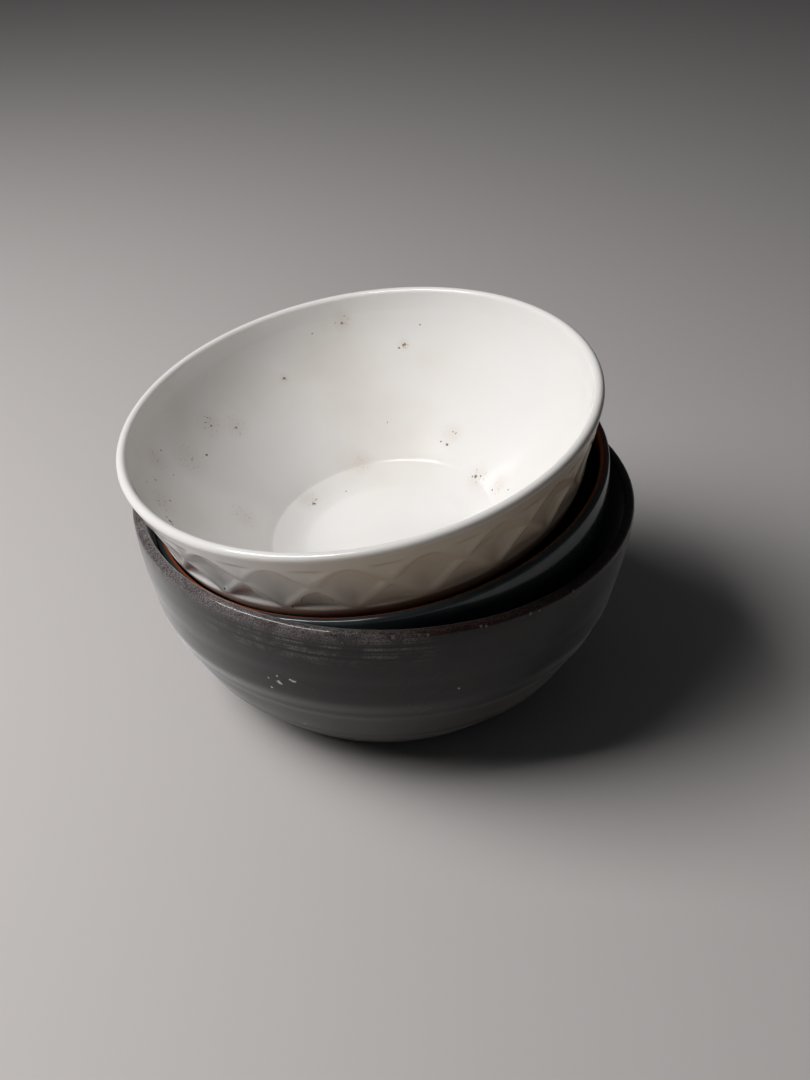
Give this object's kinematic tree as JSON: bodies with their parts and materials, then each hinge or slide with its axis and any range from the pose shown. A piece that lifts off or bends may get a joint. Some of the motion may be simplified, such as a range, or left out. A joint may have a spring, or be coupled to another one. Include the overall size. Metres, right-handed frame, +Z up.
{
  "type": "nested mixing bowls",
  "caption": "Nest of open round mixing bowls: a pale bowl with pressed diamonds leans in a dark teal bowl, which leans in a brown-black bowl with a flat foot. Each lifts out.",
  "frame": {"origin": "centre of the dark outer bowl's flat base, on the surface it stands on", "axes": "+Z is up along the outer bowl's axis. -Y faces the front, where the nest is looked at from, and +X is to the right from there."},
  "size_m": [0.1624, 0.16, 0.1089],
  "materials": {
    "dark_stoneware": "satin brown-black glaze with fine speckle, mauve-brown at the lip",
    "teal_stoneware": "glossy: black-teal outside, grey-teal lip, chestnut brown inside",
    "white_porcelain": "glossy warm white glaze, worn and lightly stained"
  },
  "bodies": {
    "outer_bowl": {"outer_bowl": "dark_stoneware"},
    "middle_bowl": {"middle_bowl": "teal_stoneware"},
    "white_bowl": {"white_bowl": "white_porcelain"}
  },
  "joints": [
    {"name": "middle_lift", "type": "slide", "parent": "outer_bowl", "child": "middle_bowl", "axis": [0, 0, 1], "range_m": [0, 0.08]},
    {"name": "white_lift", "type": "slide", "parent": "middle_bowl", "child": "white_bowl", "axis": [0, 0, 1], "range_m": [0, 0.08]}
  ]
}
